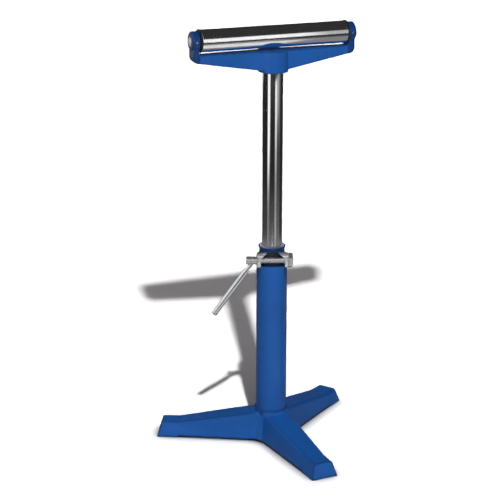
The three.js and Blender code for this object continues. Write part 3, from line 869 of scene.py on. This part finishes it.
def yokeHoles():
    y = yokeCast
    axle = pinForm(y["axleHole"], -y["axleReach"], y["axleReach"], 64, True)
    axle.transform(Matrix.Translation((0, 0, y["axisHeight"])))
    socket = pinForm(y["socket"], y["hubBottom"] - y["past"], y["socketTop"])
    screw = pinForm(y["screwHole"], *y["screwSpan"], 32)
    lift = Matrix.Translation((0, 0, y["screwHeight"]))
    screw.transform(lift @ Matrix.Rotation(-math.pi / 2, 4, "X"))
    holes = [axle, socket, screw]
    for side in (1, -1):
        grub = pinForm(y["grubHole"], *y["grubSpan"], 32)
        armMiddle = side * (y["armInner"] + y["armOuter"]) / 2
        place = Matrix.Translation((armMiddle, 0, y["axisHeight"]))
        grub.transform(place @ Matrix.Rotation(math.pi / 2, 4, "X"))
        holes.append(grub)
    return holes


def makeYoke():
    y = yokeCast
    cast = castForm(yokeSolids(), y["voxel"], y["rounds"], y["keep"])
    done = machinedForm(cast, [], yokeHoles())
    addPiece("yoke_cast", done, headPlace, "mast", "blue_paint", yokeBlueArmShade, "yoke_casting")
    refinedPiece("yoke_screw", "mast", "black_oxide", oxide, bevel=0.0002)
    for name in ("axle_grub_left", "axle_grub_right"):
        refinedPiece(name, "mast", "zinc", zinc, bevel=0.0002)


makeYoke()
print("yoke cast")

# Roller, axle and bearings
rollerParts = {
    "half": 0.1672,
    "outer": 0.02415,
    "seat": 0.02115,
    "inner": 0.02005,
    "seatFloor": 0.1499,
    "segments": 160,
    "axleRadius": 0.010,
    "axleEnd": 0.1900,
    "axleSegments": 64,
    "dimple": 0.0022,
    "edge": 0.001,
}


def makeRoller():
    r = rollerParts
    onAxle = headPlace @ Matrix.Translation((0, 0, yokeCast["axisHeight"]))
    half, floor = r["half"], r["seatFloor"]
    tube = turnedForm([
        (r["seat"], -half),
        (r["outer"], -half, r["edge"]),
        (r["outer"], half, r["edge"]),
        (r["seat"], half),
        (r["seat"], floor),
        (r["inner"], floor),
        (r["inner"], -floor),
        (r["seat"], -floor),
    ], r["segments"], True)
    addPiece("roller_chromed", tube, onAxle, "roller", "chrome", rollerChrome, "roller_tube")
    end, dimple = r["axleEnd"], r["dimple"]
    axle = turnedForm([
        (0, -end + dimple),
        (dimple, -end),
        (r["axleRadius"], -end, r["edge"]),
        (r["axleRadius"], end, r["edge"]),
        (dimple, end),
        (0, end - dimple),
    ], r["axleSegments"], True)
    addPiece("axle_turned", axle, onAxle, "mast", "bright_steel", steel, "axle")
    for side in ("left", "right"):
        refinedPiece("bearing_inner_" + side, "mast", "bright_steel", steel, bevel=0.0003)
        refinedPiece("bearing_outer_" + side, "roller", "bright_steel", steel, bevel=0.0003)
        refinedPiece("ball_cage_" + side, "cage_" + side, "bright_steel", steel, bevel=0, sharp=75)
        refinedPiece("axle_spacer_" + side, "mast", "bright_steel", steel, bevel=0.0003)
        refinedPiece("roller_cap_" + side, "roller", "black_plastic", plastic)


makeRoller()
print("roller hung")

# Floor, lamps, and grey cards that only shiny surfaces see
studio = {
    "floorSize": 16,
    "floorLevel": -0.0003,
    "floorSeen": 1.11,
    "floorBounce": 0.45,
    "slantReach": 4,  # lamp heights over which the slant is evened out
    "contactReach": 0.03,
    "contactTone": (0.04, 1, 0.45, 0.96),  # tones, and the open shares they stand for
    "speckle": (3, 2),
    "speckleTone": (0.985, 1),
    "skyFill": (0.12, 0.02, 0, 0.8),  # near the horizon and overhead, and where
    "keyPlace": (0.39, -2.45, 3.02),  # from the column's foot
    "keyPower": 33,
    "keyRadius": 0.045,
    # soft lamps: strength, degrees round from the camera, height and softness
    "frontLamp": (1.25, 4, 5, 40),
    "backLamp": (0.7, 190, 5, 40),
    "softTint": (1, 0.93, 0.98),
    "wallRadius": 1.5,
    "wallFoot": 0.003,
    "wallStep": 6,
    # degrees from the camera, then height and grey up the wall
    "wallBands": (
        (-56, -38, ((0, 0.24), (0.07, 0.18), (0.12, 0.17), (0.18, 0.36), (0.25, 1), (0.80, 1))),
        (-38, -28, ((0, 0.16), (0.12, 0.08), (0.19, 0.12), (0.26, 0.35), (0.34, 1), (0.80, 1))),
        (-28, 27, (
            (0, 0.08), (0.12, 0.05), (0.20, 0.016), (0.40, 0.014),
            (0.55, 0.05), (0.78, 0.10), (0.86, 0.95), (1.60, 0.95),
        )),
        (27, 48, (
            (0, 0.42), (0.12, 0.27), (0.18, 0.22), (0.28, 0.43),
            (0.37, 0.72), (0.50, 0.95), (0.80, 0.95),
        )),
        (48, 90, ((0, 0.13), (0.12, 0.08), (0.20, 0.06), (0.30, 0.05), (0.52, 0.20), (0.80, 0.20))),
        (90, 152, ((0, 0.03), (0.20, 0.02), (0.80, 0.02))),
        (152, 166, ((0, 0.25), (0.06, 0.5), (0.20, 0.5), (0.28, 0.04), (0.80, 0.03))),
        (166, 196, ((0, 0.03), (0.20, 0.02), (0.80, 0.02))),
        (196, 216, ((0, 0.30), (0.06, 0.7), (0.22, 0.7), (0.30, 0.04), (0.80, 0.03))),
        (216, 236, ((0, 0.03), (0.50, 0.03), (0.56, 0.7), (0.80, 0.7))),
        (236, 304, ((0, 0.04), (0.12, 0.04), (0.20, 0.015), (0.66, 0.012))),
    ),
    "roof": {"left": -0.8, "right": 5, "front": 3.4, "back": 4, "height": 2.3, "backFoot": 0.9, "grey": 0.03},
    "patch": {"left": -1, "right": 0.27, "near": 0.30, "far": 1.15, "height": 0.002, "grey": 0.75},
    # the fade dulls the roller's right end, the bar darkens its underside
    "fade": {"left": 0.195, "right": 1.1, "front": 1.38, "low": 0.42, "high": 1.49, "grey": 0.45},
    "bar": {"left": -0.4, "right": 0.7, "front": 0.35, "low": 0.765, "high": 0.875, "grey": 0.03},
    "ground": {"reach": 1.52, "height": 0.0015, "sides": 48, "grey": 0.22},
}


def directShare(tree):
    rays = tree.nodes.new("ShaderNodeLightPath")
    share = rays.outputs["Is Camera Ray"]
    for ray in ("Is Glossy Ray", "Is Transmission Ray"):
        share = combine(tree, "MAXIMUM", share, rays.outputs[ray])
    return share


def stageCard(name, points, faces, finish, place):
    mesh = bpy.data.meshes.new(name)
    mesh.from_pydata(points, [], faces)
    mesh.materials.append(finish)
    card = bpy.data.objects.new(name, mesh)
    card.matrix_world = place
    bpy.context.scene.collection.objects.link(card)
    return card


def makeFloor():
    finish, tree, shader = newFinish("paleFloor")
    tree.nodes.remove(shader)
    matt = tree.nodes.new("ShaderNodeBsdfDiffuse")
    tree.links.new(matt.outputs["BSDF"], tree.nodes["Material Output"].inputs["Surface"])
    spot = tree.nodes.new("ShaderNodeTexCoord")
    reach = tree.nodes.new("ShaderNodeVectorMath")
    reach.operation = "DISTANCE"
    reach.inputs[1].default_value = columnMiddle + Vector(studio["keyPlace"])
    tree.links.new(spot.outputs["Object"], reach.inputs[0])
    high, seen, times = studio["keyPlace"][2], studio["floorSeen"], studio["slantReach"]
    even = spread(tree, reach.outputs["Value"], seen, times * seen, high, times * high)
    pale = tree.nodes.new("ShaderNodeMix")
    pale.inputs["A"].default_value = studio["floorBounce"]
    tree.links.new(directShare(tree), pale.inputs["Factor"])
    tree.links.new(even, pale.inputs["B"])
    nearby = tree.nodes.new("ShaderNodeAmbientOcclusion")  # contact shadow under the legs
    nearby.inputs["Distance"].default_value = studio["contactReach"]
    contact = spread(tree, nearby.outputs["AO"], *studio["contactTone"])
    speckle = spread(tree, grain(tree, *studio["speckle"]), *studio["speckleTone"])
    shaded = combine(tree, "MULTIPLY", pale.outputs["Result"], contact)
    tree.links.new(combine(tree, "MULTIPLY", shaded, speckle), matt.inputs["Color"])
    s, z = studio["floorSize"], studio["floorLevel"]
    corners = [(-s, -s, z), (s, -s, z), (s, s, z), (-s, s, z)]
    stageCard("floor", corners, [(0, 1, 2, 3)], finish, Matrix.Identity(4))


def makeSky():
    world = bpy.data.worlds.new("studioWorld")
    bpy.context.scene.world = world
    world.use_nodes = True
    tree = world.node_tree
    fill = tree.nodes["Background"]
    fill.inputs["Color"].default_value = (1, 1, 1, 1)
    spot = tree.nodes.new("ShaderNodeTexCoord")
    parts = tree.nodes.new("ShaderNodeSeparateXYZ")
    tree.links.new(spot.outputs["Generated"], parts.inputs["Vector"])
    soft = spread(tree, parts.outputs["Z"], *studio["skyFill"])
    tree.links.new(combine(tree, "MAXIMUM", soft, directShare(tree)), fill.inputs["Strength"])


def hangLamp(name, lamp, place):
    holder = bpy.data.objects.new(name, lamp)
    holder.matrix_world = place
    holder.visible_glossy = False
    bpy.context.scene.collection.objects.link(holder)


def makeKeyLamp():
    lamp = bpy.data.lights.new("keyLamp", "POINT")
    lamp.energy = studio["keyPower"]
    lamp.shadow_soft_size = studio["keyRadius"]
    lamp.use_nodes = True
    tree = lamp.node_tree
    reach = tree.nodes.new("ShaderNodeLightFalloff")  # foot and head equally lit
    reach.inputs["Strength"].default_value = 1
    tree.links.new(reach.outputs["Constant"], tree.nodes["Emission"].inputs["Strength"])
    hangLamp("keyLamp", lamp, standPlace @ Matrix.Translation(studio["keyPlace"]))


def makeSoftLamp(name):
    strength, turn, height, softness = studio[name]
    lamp = bpy.data.lights.new(name, "SUN")
    lamp.energy = strength
    lamp.color = studio["softTint"]
    lamp.angle = math.radians(softness)
    around = Matrix.Rotation(math.radians(cameraSetup["turn"] + turn), 4, "Z")
    hangLamp(name, lamp, around @ Matrix.Rotation(math.radians(90 - height), 4, "X"))


# grey is one level, or pairs of height and level
def greyCard(name, grey):
    finish, tree, shader = newFinish(name)
    tree.nodes.remove(shader)
    lit = tree.nodes.new("ShaderNodeEmission")
    tree.links.new(lit.outputs["Emission"], tree.nodes["Material Output"].inputs["Surface"])
    if isinstance(grey, tuple):
        spot = tree.nodes.new("ShaderNodeTexCoord")
        parts = tree.nodes.new("ShaderNodeSeparateXYZ")
        tree.links.new(spot.outputs["Object"], parts.inputs["Vector"])
        top = grey[-1][0]
        share = spread(tree, parts.outputs["Z"], 0, 1, 0, top)
        levels = tones(tree, share, [(z / top, (g, g, g)) for z, g in grey])
        tree.links.new(levels, lit.inputs["Color"])
    else:
        lit.inputs["Strength"].default_value = grey
    return finish


def shineCard(name, points, faces, grey, place):
    card = stageCard(name, points, faces, greyCard(name, grey), place)
    card.visible_camera = False
    card.visible_diffuse = False
    card.visible_shadow = False
    card.visible_transmission = False
    card.visible_volume_scatter = False


def wallCard(start, stop, grey):
    steps = max(2, int((stop - start) / studio["wallStep"]))
    radius, top = studio["wallRadius"], grey[-1][0]
    points = []
    for k in range(steps + 1):
        a = math.radians(start + (stop - start) * k / steps + cameraSetup["turn"] - 90)
        x, y = radius * math.cos(a), radius * math.sin(a)
        points += [(x, y, studio["wallFoot"]), (x, y, top)]
    faces = [(2 * k, 2 * k + 2, 2 * k + 3, 2 * k + 1) for k in range(steps)]
    shineCard("wall%d" % start, points, faces, grey, standPlace)


def uprightCard(name, place):
    c = studio[name]
    y = -c["front"]
    points = [(c["left"], y, c["low"]), (c["right"], y, c["low"])]
    points += [(c["right"], y, c["high"]), (c["left"], y, c["high"])]
    shineCard(name, points, [(0, 1, 2, 3)], c["grey"], place)


def makeCards():
    for start, stop, grey in studio["wallBands"]:
        wallCard(start, stop, grey)
    # square to where the roller's mirror image looks
    away = standPlace @ Matrix.Rotation(2 * headTurn - math.radians(cameraSetup["turn"]), 4, "Z")
    c = studio["roof"]
    roof = [(x, -c["front"], c["height"]) for x in (c["left"], c["right"])]
    roof += [(x, c["back"], c["height"]) for x in (c["right"], c["left"])]
    roof += [(x, c["back"], c["backFoot"]) for x in (c["right"], c["left"])]
    shineCard("roof", roof, [(0, 1, 2, 3), (3, 2, 4, 5)], c["grey"], away)
    c = studio["patch"]
    patch = [(x, -c["near"], c["height"]) for x in (c["left"], c["right"])]
    patch += [(x, -c["far"], c["height"]) for x in (c["right"], c["left"])]
    shineCard("patch", patch, [(0, 1, 2, 3)], c["grey"], away)
    uprightCard("fade", away)
    uprightCard("bar", headPlace)
    c = studio["ground"]
    angles = [2 * math.pi * k / c["sides"] for k in range(c["sides"])]
    ring = [(c["reach"] * math.cos(a), c["reach"] * math.sin(a), c["height"]) for a in angles]
    shineCard("ground", ring, [tuple(range(c["sides"]))], c["grey"], standPlace)


makeFloor()
makeSky()
makeKeyLamp()
makeSoftLamp("frontLamp")
makeSoftLamp("backLamp")
makeCards()
print("studio lit")
